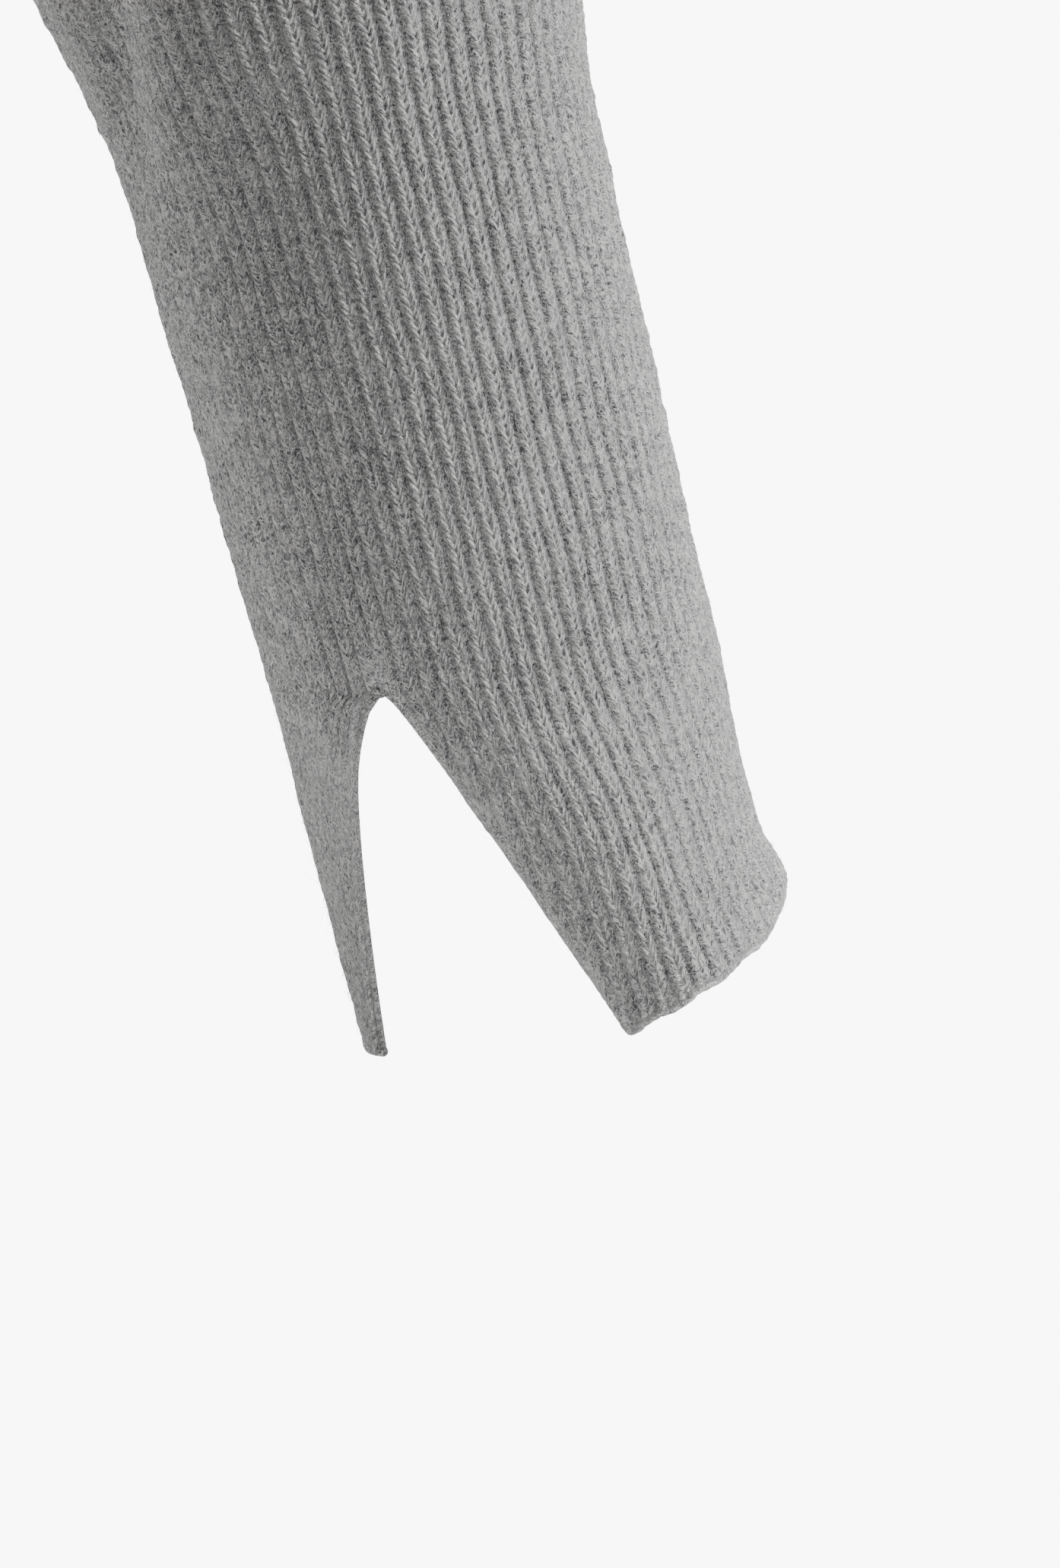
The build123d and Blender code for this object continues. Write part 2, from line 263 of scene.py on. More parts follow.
def hand_half(share):
    """Half of the hand's outline: from the back of the hand round to the middle of the gap."""
    middle = mix(0, HEM_MIDDLE_X, share)
    waist = HAND_WAIST * math.sin(pi * min(share / 0.9, 1) ** 2)
    flare = HEM_FLARE * smooth((share - 0.84) / 0.14) - waist
    back = mix(CROTCH_R, HEM_BACK_X, share) + flare
    breadth = mix(CROTCH_R, HEM_HALF_BREADTH, share)
    palm_reach = mix(CROTCH_R, HEM_PALM_REACH, share)
    cut = mix(CHORD_X, HEM_PALM_X, share**0.86)
    end = pi / 2 + math.asin(min(1, (middle - cut) / palm_reach))
    angle = np.linspace(0, end, ARC_SAMPLES)
    reach = np.where(angle < pi / 2, back - middle, palm_reach)
    arc = np.stack([middle + reach * np.cos(angle), breadth * np.sin(angle)], -1)
    return np.vstack([arc, np.linspace(arc[-1], [arc[-1][0], 0], WALL_SAMPLES)[1:]])


def thumb_half(share):
    """Half of the thumb's outline: from its outer side round to the middle of the gap."""
    outer = mix(-CROTCH_R, THUMB_OUT_X, share)
    inner = mix(CHORD_X, THUMB_TIP_IN_X, share**0.48)
    half = mix(CHORD_HALF, THUMB_TIP_HALF, share**0.9)
    rise = inner - outer
    radius = (half**2 + rise**2) / (2 * rise)
    angle = np.linspace(0, math.atan2(half, radius - rise), ARC_SAMPLES)
    arc = np.stack([outer + radius * (1 - np.cos(angle)), -radius * np.sin(angle)], -1)
    return np.vstack([arc, np.linspace(arc[-1], [inner, 0], WALL_SAMPLES)[1:]])


def line_length(points):
    return np.concatenate([[0], np.cumsum(np.linalg.norm(np.diff(points, axis=0), axis=1))])


def outline_table(half_outline, corner):
    """Outlines at evenly spaced depths, with their lengths and how far round the corners are."""
    table, lengths, corners = [], [], []
    for share in np.linspace(0, 1, OUTLINE_DEPTHS):
        half = half_outline(share)
        along = line_length(half)
        lengths.append(2 * along[-1])
        corners.append(along[ARC_SAMPLES - 1] / lengths[-1])
        loop = even_loop(np.vstack([half, half[-2:0:-1] * [1, -1]]))
        table.append(even_loop(round_corners(loop, corner * smooth(share * 3.5) + 1e-6)))
    return np.array(table), np.array(lengths), np.array(corners)


HAND_OUTLINES = outline_table(hand_half, 1.1)
THUMB_OUTLINES = outline_table(thumb_half, 1.0)


def look_up(table, part, share):
    """Point at part (0 to 1) round the outline at share (0 to 1) of the depth."""
    row = np.clip(share, 0, 1) * (len(table) - 1)
    column = (part % 1) * OUTLINE_SAMPLES
    r = np.floor(row).astype(int)
    c = np.floor(column).astype(int) % OUTLINE_SAMPLES
    r2, c2 = np.minimum(r + 1, len(table) - 1), (c + 1) % OUTLINE_SAMPLES
    fr, fc = (row - r)[..., None], (column - np.floor(column))[..., None]
    return mix(mix(table[r, c], table[r, c2], fc), mix(table[r2, c], table[r2, c2], fc), fr)


def hem_height(x):
    """The hand's slanting hem: its height at x, with a soft bow and small waves."""
    share = (HEM_BACK_X - x) / (HEM_BACK_X - HEM_PALM_X)
    rise = HEM_RISE * np.sin(pi * np.clip(share, 0, 1)) + 0.3 * np.sin(x * 0.75)
    return mix(HEM_BACK_Z, HEM_PALM_Z, share) + rise


def thumb_height(x):
    return THUMB_TIP_Z - THUMB_TIP_DROP * smooth((THUMB_TIP_IN_X - x) / 5)


class Fabric:
    """One sheet of knitting round the sleeve, the hand or the thumb."""

    def __init__(self, turn, outer, strength, wall, last=1e6, outlines=None, height=None, slide=0):
        self.turn = turn  # the sleeve's repeat at this fabric's w of 0
        self.outer = outer  # repeats that run on from the sleeve
        self.repeats = outer if outlines is None else outer + INNER
        self.strength = strength  # of the rib and the stitches, at a row and place
        self.wall = wall  # thickness at a row
        self.last = last  # stitch row
        self.table, self.lengths, self.corners = outlines or (None, None, None)
        self.height = height  # of the last row, at an x
        self.slide = slide  # repeats that have turned round each corner by the hem

    def centred(self, w):
        return (w + self.repeats / 2) % self.repeats - self.repeats / 2

    def inside_wall(self, w):
        """1 on the wall that faces the gap, 0 on fabric that runs on from the sleeve."""
        if self.table is None:
            return np.zeros(np.shape(w), bool)
        return np.abs(self.centred(w)) > self.outer / 2 + 1e-6

    def round_outline(self, w, v):
        """Depth from 0 to 1, how far round the outline w is, and millimetres from its corner."""
        share = np.clip((v - CROTCH_COURSE) / (self.last - CROTCH_COURSE), 0, 1)
        depths = np.linspace(0, 1, len(self.corners))
        corner = np.interp(share, depths, self.corners)
        fold, half = self.outer / 2 - self.slide * share, self.repeats / 2
        w = np.abs(w)
        beyond = 0.5 - (0.5 - corner) * (half - w) / (half - fold)
        part = np.where(w < fold, corner * w / fold, beyond)
        return share, part, (part - corner) * np.interp(share, depths, self.lengths)

    def place(self, w, v):
        """Points on the base surface, which the rib and the stitches are raised from."""
        high = sleeve(w + self.turn, v)
        if self.table is None:
            return high
        w = self.centred(w)
        share, part, _ = self.round_outline(w, v)
        xy = look_up(self.table, part * np.sign(w), share)
        if self.slide:  # the ribs leave the crotch's level in the sleeve's direction
            to_corner = self.outer / 2 - self.slide * share - np.abs(w)
            straight = (1 - smooth(share / 0.5)) * smooth(to_corner / 8)
            xy = mix(xy, high[..., :2], straight[..., None])
        z = mix(CROTCH_Z, self.height(xy[..., 0]), share)
        low = np.concatenate([xy, z[..., None]], -1)
        above = (v <= CROTCH_COURSE) & (np.abs(w) <= self.outer / 2 + 1e-6)
        return np.where(above[..., None], high, low)

    @staticmethod
    def slopes(place, w, v, forward):
        """Normals of a surface. Where forward is true, only rows from v on are looked at."""
        step = 0.05
        around = place(w + step, v) - place(w - step, v)
        down = place(w, v + np.where(forward, step, 0)) - place(w, v - np.where(forward, 0, step))
        return unit(np.cross(down, around))

    def normal(self, w, v):
        inner = self.inside_wall(w)
        own = self.slopes(self.place, w, v, inner)
        if self.table is None:
            return own
        above = np.minimum(v, CROTCH_COURSE)
        high = self.slopes(lambda w, v: sleeve(w + self.turn, v), w, above, False)
        share = np.where(inner, 1, smooth((v - CROTCH_COURSE) / 2))
        return unit(mix(high, own, share[..., None]))

    def stitches(self, w, r):
        """For points of the outside: base place, normal, w, v, relief to show and height."""
        w = np.broadcast_to(w, np.broadcast(w, r).shape)
        r = np.broadcast_to(r, w.shape)
        around, below = w + self.turn, r - CROTCH_COURSE
        inner = self.inside_wall(w)
        calm = 1 - smooth((np.abs(self.centred(w)) - self.outer / 2) / 3)
        calm = np.where(inner, calm, 1) if self.table is not None else np.ones(w.shape)
        near_crotch = smooth((np.abs(below) - 1) / 6)
        from_back = np.abs((around + REPEATS / 2) % REPEATS - REPEATS / 2)
        to_split = np.abs(from_back - HAND_OUTER / 2)  # from where hand and thumb part
        at_split = np.exp(-((to_split / 0.9) ** 2))
        free = calm * np.maximum(near_crotch, smooth((to_split - 0.5) / 3))
        free = free * smooth(to_split / 1.5)

        def noise(cells_and_seed):
            return round_noise(around, r, *cells_and_seed)

        # Where the point lies: the strands climb, and the rows and columns wander.
        side = 0.07 * noise(SWAY_FINE) + 0.08 * noise(SWAY_BROAD)
        rise = 0.28 * noise(RISE_FINE) + 0.25 * noise(RISE_BROAD)
        crown, legs, climb = (across(w, shape) for shape in (CROWN, LEG, CLIMB))
        climb = climb * (1 - at_split * (1 - smooth((np.abs(below) - 2) / 5)))
        start = np.where(inner, smooth(below / (2 * MOST_CLIMB)), 1)
        end = mix(0.3, 1, smooth((self.last - r) / 5))
        v = r - climb * start * end + rise * free * smooth((self.last - r) / 6)
        v = np.where(inner, np.maximum(v, CROTCH_COURSE), v)
        moved = w + side * free

        # How high it stands.
        uneven = 0.55 * noise(STITCH_SIZE) * free
        thick = (0.2 * noise(YARN_SHORT) + 0.15 * noise(YARN_LONG)) * free
        relief = RIB_DEPTH * crown * (1 + thick) + STRAND * legs * bumps(r) * (1 + uneven + thick)
        bulge = (0.22 * noise(BULGE_BROAD) + 0.1 * noise(BULGE_FINE)) * free
        strength = self.strength(r, around)
        height = (relief - DEEPEST) * strength + bulge

        # The corners at the split and down both sides of the gap are filled and smoother.
        if self.table is None:
            edge = at_split * smooth((below + 7) / 5)
        else:
            off_corner = self.round_outline(self.centred(w), v)[2]
            edge = np.exp(-((off_corner / mix(3.0, 2.2, smooth(below / 8))) ** 2))
        edge = 0.92 * edge
        height = mix(height, -0.3 * DEEPEST * strength, edge)
        height = height * np.where(inner, smooth((v - CROTCH_COURSE) / 3), 1)
        # shown is the relief that the material reads: it picks the yarn's pattern and sets how
        # deep the painted shade in the furrows is.
        shown = mix(0.65, relief / DEEPEST, strength * (1 - edge))
        return self.place(moved, v), self.normal(moved, v), moved, v, shown, height


def sleeve_strength(_, around):
    """How strongly the rib stands out: less where the two edges of the glove are felted."""
    from_back = np.abs((around + REPEATS / 2) % REPEATS - REPEATS / 2)
    return 1 - 0.35 * smooth((from_back - 22) / 8) - 0.4 * smooth((8 - from_back) / 7)


def past_crotch(r):
    return smooth((r - CROTCH_COURSE + 1) / 12)


def hand_strength(r, around):
    return sleeve_strength(r, around) * mix(1, 0.72, past_crotch(r))


def thumb_strength(r, around):
    return mix(sleeve_strength(r, around), 0.36, past_crotch(r))


def wall_of(thin):
    """The wall's thickness down the glove, which changes to this one below the crotch."""
    return lambda v: mix(WALL, thin, smooth((v - CROTCH_COURSE) / 9))


SLEEVE = Fabric(0, REPEATS, sleeve_strength, wall_of(WALL))
HAND = Fabric(
    0, HAND_OUTER, hand_strength, wall_of(WALL), HAND_LAST, HAND_OUTLINES, hem_height, slide=6
)
THUMB = Fabric(
    REPEATS / 2,
    THUMB_OUTER,
    thumb_strength,
    wall_of(THUMB_WALL),
    THUMB_LAST,
    THUMB_OUTLINES,
    thumb_height,
)

# ===== meshes =====


def finish_mesh(name, points, attributes, quads, caps=()):
    """An object in metres from points in millimetres, with attributes for its material."""
    corners = np.concatenate([quads.ravel()] + [np.asarray(cap).ravel() for cap in caps])
    sizes = [4] * len(quads) + [len(cap) for cap in caps]
    starts = np.concatenate([[0], np.cumsum(sizes)[:-1]])
    mesh = bpy.data.meshes.new(name)
    mesh.vertices.add(len(points))
    mesh.vertices.foreach_set("co", (points * MM).astype(np.float32).ravel())
    mesh.loops.add(len(corners))
    mesh.loops.foreach_set("vertex_index", corners.astype(np.int32))
    mesh.polygons.add(len(sizes))
    mesh.polygons.foreach_set("loop_start", starts.astype(np.int32))
    mesh.polygons.foreach_set("use_smooth", np.ones(len(sizes), bool))
    for key, values in attributes.items():
        vector = values.ndim == 2
        layer = mesh.attributes.new(key, "FLOAT_VECTOR" if vector else "FLOAT", "POINT")
        layer.data.foreach_set("vector" if vector else "value", values.astype(np.float32).ravel())
    mesh.update(calc_edges=True)
    piece = bpy.data.objects.new(name, mesh)
    bpy.context.scene.collection.objects.link(piece)
    return piece


def grid_faces(rows, columns, close_rows, close_columns=True):
    r, c = np.meshgrid(
        np.arange(rows if close_rows else rows - 1),
        np.arange(columns if close_columns else columns - 1),
        indexing="ij",
    )
    r2, c2 = (r + 1) % rows, (c + 1) % columns
    quads = [r * columns + c, r2 * columns + c, r2 * columns + c2, r * columns + c2]
    return np.stack(quads, -1).reshape(-1, 4)


def cloth_place(first, second):
    """Material coordinates in millimetres, in two directions on the yarn or cloth."""
    return np.stack(np.broadcast_arrays(first, second, 0.0), -1).reshape(-1, 3)


def columns_of(repeats):
    """The w of every mesh column round this many repeats."""
    first = -((repeats - 1) // 2)
    return (np.arange(first, first + repeats)[:, None] + COLUMN).ravel()


def knit_piece(name, fabric, start, stop):
    """A closed tube of knitting from stitch row start to stop: its outside, then its inside."""
    w = columns_of(fabric.repeats)
    rows = np.linspace(start, stop, round((stop - start) * ROWS) + 1)[:, None]
    base, n, _, _, relief, height = fabric.stitches(w, rows)
    outside = base + n * height[..., None]
    back = np.linspace(stop, start, round((stop - start) / 2) + 1)[:, None]
    base, n, _, v, _, height = fabric.stitches(w, back)
    reverse = PURL_DEPTH * np.cos(2 * pi * (w - np.round(w) - 0.05))
    inside = base - n * (fabric.wall(v) + reverse)[..., None]
    points = np.concatenate([outside, inside]).reshape(-1, 3)
    strand_rows = np.concatenate([rows, back + INSIDE_OFFSET])
    attributes = {
        "rest": points,
        # The inside's relief sets the painted shade in its purl furrows.
        "relief": np.concatenate([relief, 0.5 - 0.5 * reverse + 0 * height]).ravel(),
        "strand": cloth_place(w * REPEAT, strand_rows * COURSE),
    }
    return finish_mesh(name, points, attributes, grid_faces(len(rows) + len(back), w.size, True))


def tube(name, centre, outward, radius, along, closed):
    """A round strand on a line of centres. radius has a row for each centre."""
    count, sides = radius.shape
    if closed:
        tangent = unit(np.roll(centre, -1, 0) - np.roll(centre, 1, 0))
    else:
        tangent = unit(np.gradient(centre, axis=0))
    out = unit(outward - tangent * (outward * tangent).sum(-1, keepdims=True))
    side = np.cross(tangent, out)
    angle = full_turn(sides)
    ring = out[:, None] * np.cos(angle)[:, None] + side[:, None] * np.sin(angle)[:, None]
    points = (centre[:, None] + ring * radius[..., None]).reshape(-1, 3)
    strand = cloth_place(along[:, None], angle * radius.mean())
    # On wool strands the material paints shade where this relief is low, in the grooves between
    # the bumps.
    attributes = {"rest": points, "relief": (radius / radius.max()).ravel(), "strand": strand}
    caps = [] if closed else [np.arange(sides)[::-1], np.arange(sides) + (count - 1) * sides]
    quads = grid_faces(count, sides, closed)[:, ::-1]
    return finish_mesh(name, points, attributes, quads, caps)


def bumpy_radius(along, sides, radius, pitch, depth, seed):
    """Radii of a strand whose stitches or plies wind round it once every pitch."""
    angle = np.linspace(0, 1, sides, endpoint=False)
    turns = along[:, None] / pitch
    phase = turns + angle
    uneven = value_noise(turns, 0 * angle + 3, seed)
    return radius * (1 - depth + depth * bumps(phase) * (1 + 0.4 * uneven) + 0.1 * uneven)


def rolled_hem(name, fabric, radius):
    """The bound-off edge: a roll of slanting stitches that follows the fabric's last row."""
    w = np.arange(-fabric.repeats / 2, fabric.repeats / 2, 1 / 16)
    last = np.full(w.shape, float(fabric.last))
    base, n = fabric.place(w, last), fabric.normal(w, last)
    down = unit(fabric.place(w, last) - fabric.place(w, last - 0.5))
    scallop = 0.06 * np.cos(2 * pi * w) + 0.12 * round_noise(w, w * 0, *HEM_SCALLOP)
    centre = base - n * (fabric.wall(last)[:, None] * 0.6) + down * (scallop - 0.1)[:, None]
    sides = 12
    angle = np.linspace(0, 1, sides, endpoint=False)
    phase = 2 * w[:, None] + 0.9 * angle
    uneven = round_noise(w[:, None], 0 * angle, *HEM_STITCH)
    shape = radius * (0.88 + 0.12 * bumps(phase, 0.6) * (1 + 0.4 * uneven) + 0.03 * uneven)
    return tube(name, centre, n, shape, w * REPEAT * 0.8, True)


# ===== materials =====


class Nodes:
    """A material's node tree and shader."""

    def __init__(self, name):
        self.material = bpy.data.materials.new(name)
        self.material.use_nodes = True
        self.tree = self.material.node_tree
        self.tree.nodes.clear()
        self.shader = self.add("ShaderNodeBsdfPrincipled")
        out = self.add("ShaderNodeOutputMaterial")
        self.tree.links.new(self.shader.outputs[0], out.inputs[0])

    def add(self, kind, inputs=(), **settings):
        """A node with these settings, and with sockets or plain values on its inputs."""
        node = self.tree.nodes.new(kind)
        for key, value in settings.items():
            setattr(node, key, value)
        for key, value in dict(inputs).items():
            self.feed(node, key, value)
        return node

    def feed(self, node, key, value):
        if isinstance(value, bpy.types.NodeSocket):
            self.tree.links.new(value, node.inputs[key])
        else:
            node.inputs[key].default_value = value

    def paint(self, color):
        self.feed(self.shader, "Base Color", color)

    def attribute(self, name, vector=True):
        node = self.add("ShaderNodeAttribute", attribute_name=name)
        return node.outputs["Vector" if vector else "Fac"]

    def scaled(self, vector, scale):
        inputs = {0: vector, 1: scale}
        return self.add("ShaderNodeVectorMath", inputs, operation="MULTIPLY").outputs[0]

    def noise(self, vector, scale, detail, rough, distortion=0.0):
        inputs = {"Vector": vector, "Scale": scale, "Detail": detail, "Roughness": rough}
        inputs["Distortion"] = distortion
        return self.add("ShaderNodeTexNoise", inputs).outputs["Fac"]

    def bands(self, vector, scale, direction, distortion=0.0):
        inputs = {"Vector": vector, "Scale": scale, "Distortion": distortion}
        return self.add("ShaderNodeTexWave", inputs, bands_direction=direction).outputs["Fac"]

    def sums(self, *terms):
        """Sum of sockets, each with its own factor."""
        total = 0.0
        for socket, factor in terms:
            inputs = {0: socket, 1: factor, 2: total}
            total = self.add("ShaderNodeMath", inputs, operation="MULTIPLY_ADD").outputs[0]
        return total

    def stepped(self, value, low, high, to_low=0.0, to_high=1.0):
        inputs = {0: value, 1: low, 2: high, 3: to_low, 4: to_high}
        return self.add("ShaderNodeMapRange", inputs).outputs[0]

    def contour(self, value, width):
        """1 on the thin wandering lines where a noise crosses its middle, 0 off them."""
        inputs = {0: value, 1: 0.5, 2: width / 2}
        return self.add("ShaderNodeMath", inputs, operation="COMPARE").outputs[0]

    def blend(self, share, a, b, kind="MIX"):
        inputs = {0: share, 6: a, 7: b}
        node = self.add("ShaderNodeMix", inputs, data_type="RGBA", blend_type=kind)
        return node.outputs[2]

    def bump(self, height, distance):
        inputs = {"Height": height, "Distance": distance * MM, "Strength": 1.0}
        self.feed(self.shader, "Normal", self.add("ShaderNodeBump", inputs).outputs[0])

    def finish(self, rough, sheen, sheen_rough=0.5, specular=0.2):
        for key, value in (
            ("Roughness", rough),
            ("Sheen Weight", sheen),
            ("Sheen Roughness", sheen_rough),
            ("Specular IOR Level", specular),
        ):
            self.shader.inputs[key].default_value = value
        return self.material


def grey(level, cool=0.0):
    """A grey of this reflectance, bluer where cool is above 0."""
    return (level * (1 - cool), level, level * (1 + 1.6 * cool), 1)


def heather_wool():
    """Brushed heather wool: light and dark fibres along the strands, in soft uneven patches."""
    m = Nodes("heather_wool")
    rest, strand = m.attribute("rest"), m.attribute("strand")
    relief = m.attribute("relief", False)
    fibre = m.noise(m.scaled(strand, (0.9, 3.1, 1.0)), 1.0, 3.0, 0.65)
    felt = m.noise(m.scaled(rest, (1.0, 1.0, 0.6)), 2.9, 3.0, 0.7, 1.0)
    stitch = m.noise(m.scaled(rest, (1.0, 1.0, 1.2)), 0.8, 2.0, 0.6)
    patch = m.noise(m.scaled(rest, (0.13, 0.13, 0.22)), 1.0, 3.0, 0.6)
    on_legs = m.stepped(relief, 0.25, 0.6)
    streak = m.blend(on_legs, m.stepped(felt, 0.38, 0.62), m.stepped(fibre, 0.38, 0.62))
    shade = m.sums(
        (streak, 0.44),
        (m.stepped(felt, 0.39, 0.61), 0.32),
        (m.stepped(stitch, 0.34, 0.66), 0.2),
        (m.stepped(patch, 0.38, 0.62), 0.2),
    )
    body = m.blend(m.stepped(shade, 0.26, 0.92), grey(0.07, 0.07), grey(0.46))
    # Single hairs, dark ones first: place, scale, width, strength, colour, only on the strands.
    hairs = (
        (m.scaled(rest, (1.4, 2.0, 0.8)), 1.2, 0.07, 0.5, grey(0.055, 0.09), False),
        (m.scaled(strand, (0.8, 2.4, 2.0)), 1.1, 0.08, 0.6, grey(0.055, 0.09), True),
        (m.scaled(strand, (0.6, 2.0, 1.0)), 1.0, 0.075, 0.8, grey(0.88, -0.02), True),
        (m.scaled(rest, (1.8, 1.8, 0.8)), 1.0, 0.075, 0.8, grey(0.85, -0.02), False),
    )
    for vector, scale, width, strength, color, legs_only in hairs:
        line = m.contour(m.noise(vector, scale, 1.0, 0.5, 0.8), width)
        share = m.blend(line, (0, 0, 0, 1), on_legs) if legs_only else line
        body = m.blend(m.sums((share, strength)), body, color)
    # Painted shade: the colour is darkened in the furrows between the ribs and strands, and
    # lightened a little on their crests.
    painted_furrow_shade = m.stepped(relief, 0.1, 0.8, 0.77, 1.03)
    m.paint(m.blend(1.0, body, painted_furrow_shade, "MULTIPLY"))
    m.bump(m.sums((fibre, 0.6), (felt, 0.9)), 0.55)
    return m.finish(0.92, 0.9, 0.35)


def plain_fibre(name, level):
    """A single loose wool fibre, which has one colour and a soft silky edge."""
    m = Nodes(name)
    m.paint(grey(level))
    return m.finish(0.75, 0.4)


def wound_thread(name, level, pitch, shine):
    """A thread whose plies or cover wind round it."""
    m = Nodes(name)
    strand = m.attribute("strand")
    winds = m.bands(m.scaled(strand, (1 / pitch, 1 / pitch, 1.0)), 0.6, "DIAGONAL", 0.4)
    fuzz = m.noise(m.scaled(strand, (2.0, 8.0, 1.0)), 1.5, 3.0, 0.6)
    tone = m.stepped(m.sums((winds, 0.5), (fuzz, 0.8)), 0.2, 1.0)
    m.paint(m.blend(tone, grey(level * 0.55, 0.03), grey(level)))
    m.bump(m.sums((winds, 0.7), (fuzz, 0.3)), 0.12)
    return m.finish(0.6, 0.15, 0.4, shine)


def satin_ribbon():
    """A blank white label ribbon: fine satin weave with a woven edge."""
    m = Nodes("satin_ribbon")
    cloth = m.attribute("strand")
    weft, warp = m.bands(cloth, 1.5, "Y"), m.bands(cloth, 0.9, "X")
    slub = m.noise(m.scaled(cloth, (0.3, 3.0, 1.0)), 1.0, 3.0, 0.6)
    tone = m.stepped(m.sums((weft, 0.35), (warp, 0.2), (slub, 0.7)), 0.2, 1.0)
    m.paint(m.blend(tone, grey(0.66, 0.01), grey(0.82, -0.01)))
    m.bump(m.sums((weft, 0.6), (warp, 0.4)), 0.05)
    return m.finish(0.42, 0.1, 0.3, 0.45)


WOOL = heather_wool()
PALE_FIBRE = plain_fibre("pale_fibre", 0.50)
DARK_FIBRE = plain_fibre("dark_fibre", 0.16)
ELASTIC = wound_thread("covered_elastic", 0.45, 0.5, 0.4)
THREAD = wound_thread("sewing_thread", 0.30, 0.4, 0.4)
RIBBON = satin_ribbon()


def dress(piece, slot, *materials):
    for material in materials:
        piece.data.materials.append(material)
    return piece


# ===== the knitted pieces =====

SLEEVE_SPLIT = 56
BAND_COURSE = round(-BAND_Z / COURSE)
THUMB_SPLIT = CROTCH_COURSE + round((CROTCH_Z - THUMB_BAND_Z) / COURSE)


# How each stretch of the glove moves: one body, or from one body to the next between two heights.
MOVES = {
    "forearm": ("arm",),
    "wrist": ("arm", "wrist", FLEX_TOP_Z + 14, BAND_Z),
    "palm": ("wrist", "hand", BAND_Z, TILT_END_Z - 10),
    "hand": ("hand",),
    "thumb_base": ("hand", "thumb_root", CROTCH_Z, THUMB_BAND_Z),
    "thumb_end": ("thumb_root", "thumb_end", THUMB_BAND_Z, KNUCKLE_END_Z - 6),
    "thumb_tip": ("thumb_end",),
}


def follow(piece, stretch):
    """Attach a piece to the body of its stretch; one whose stretch spans two bodies stays
    unattached.
    """
    move = MOVES[stretch]
    if len(move) == 1:
        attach(piece, move[0])
    else:
        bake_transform(piece)


# Stretch: fabric, first and last stitch row, and the CAD nodes that it stands for.
STRETCHES = {
    "forearm": (SLEEVE, -WELT_Z / COURSE, SLEEVE_SPLIT, ("forearm_tube",)),
    "wrist": (SLEEVE, SLEEVE_SPLIT, BAND_COURSE, ("wrist_flex_fabric",)),
    "palm": (SLEEVE, BAND_COURSE, CROTCH_COURSE, ("wrist_band", "wrist_tilt_fabric", "palm_tube")),
    "hand": (HAND, CROTCH_COURSE, HAND_LAST, ("hand_tube",)),
    "thumb_base": (THUMB, CROTCH_COURSE, THUMB_SPLIT, ("thumb_gusset", "thumb_band")),
    "thumb_end": (THUMB, THUMB_SPLIT, THUMB_LAST, ("thumb_knuckle", "thumb_stall")),
}

for stretch, (fabric, start, stop, nodes) in STRETCHES.items():
    piece = dress(knit_piece(stretch + "_knit", fabric, start, stop), "knit_wool", WOOL)
    follow(piece, stretch)
    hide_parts(*nodes)

for stretch, fabric, radius, node in (
    ("hand", HAND, HEM_TUBE, "hand_hem"),
    ("thumb_tip", THUMB, THUMB_HEM_TUBE, "thumb_hem"),
):
    piece = dress(rolled_hem(node + "_roll", fabric, radius), "knit_wool", WOOL)
    follow(piece, stretch)
    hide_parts(node)

# ===== the welt =====

WELT_LOW, WELT_HIGH = BOX_MM["arm_welt"]
OPENING_R = WELT_HIGH[0]
LAYER = 1.5
POCKET = 1.3
WELT_IN_R = OPENING_R - 2 * LAYER - POCKET
WELT_IN_Z = WELT_LOW[2] + 1
WELT_STEP = 0.36  # between mesh rows
WELT_ROLL = 1.6  # the height of its rounded top
POCKET_TOP_Z, POCKET_SIDE_Z = -2.2, -3.2


def welt_path():
    """The folded welt's cross-section, closed: radius, height, outward (two) and relief."""
    middle = mix(WELT_IN_R, OPENING_R, 0.5)
    reach = (OPENING_R - WELT_IN_R) / 2
    fold = []
    for t in np.linspace(0, pi, 15):
        out, up = math.cos(t), math.sin(t)
        fold.append((middle + reach * out, -WELT_ROLL + WELT_ROLL * up**0.8, out, up, 1.0))
    outer = [(OPENING_R, z, 1, 0, 1.0) for z in np.arange(WELT_Z, -1.7, WELT_STEP)]
    inner = [(WELT_IN_R, z, -1, 0, 0.8) for z in np.arange(-2.0, WELT_IN_Z, -WELT_STEP)]
    lip = [
        (WELT_IN_R + 0.4, WELT_IN_Z - 0.3, -0.6, -0.8, 0.2),
        (WELT_IN_R + LAYER, WELT_IN_Z, 1, 0, 0.0),
    ]
    pocket = [
        (WELT_IN_R + LAYER, POCKET_SIDE_Z, 1, 0, 0.0),
        (middle, POCKET_TOP_Z, 0, -1, 0.0),
        (OPENING_R - LAYER, POCKET_SIDE_Z, -1, 0, 0.0),
        (OPENING_R - LAYER, WELT_Z, -1, 0, 0.0),
    ]
    return np.array(outer + fold + inner + lip + pocket)


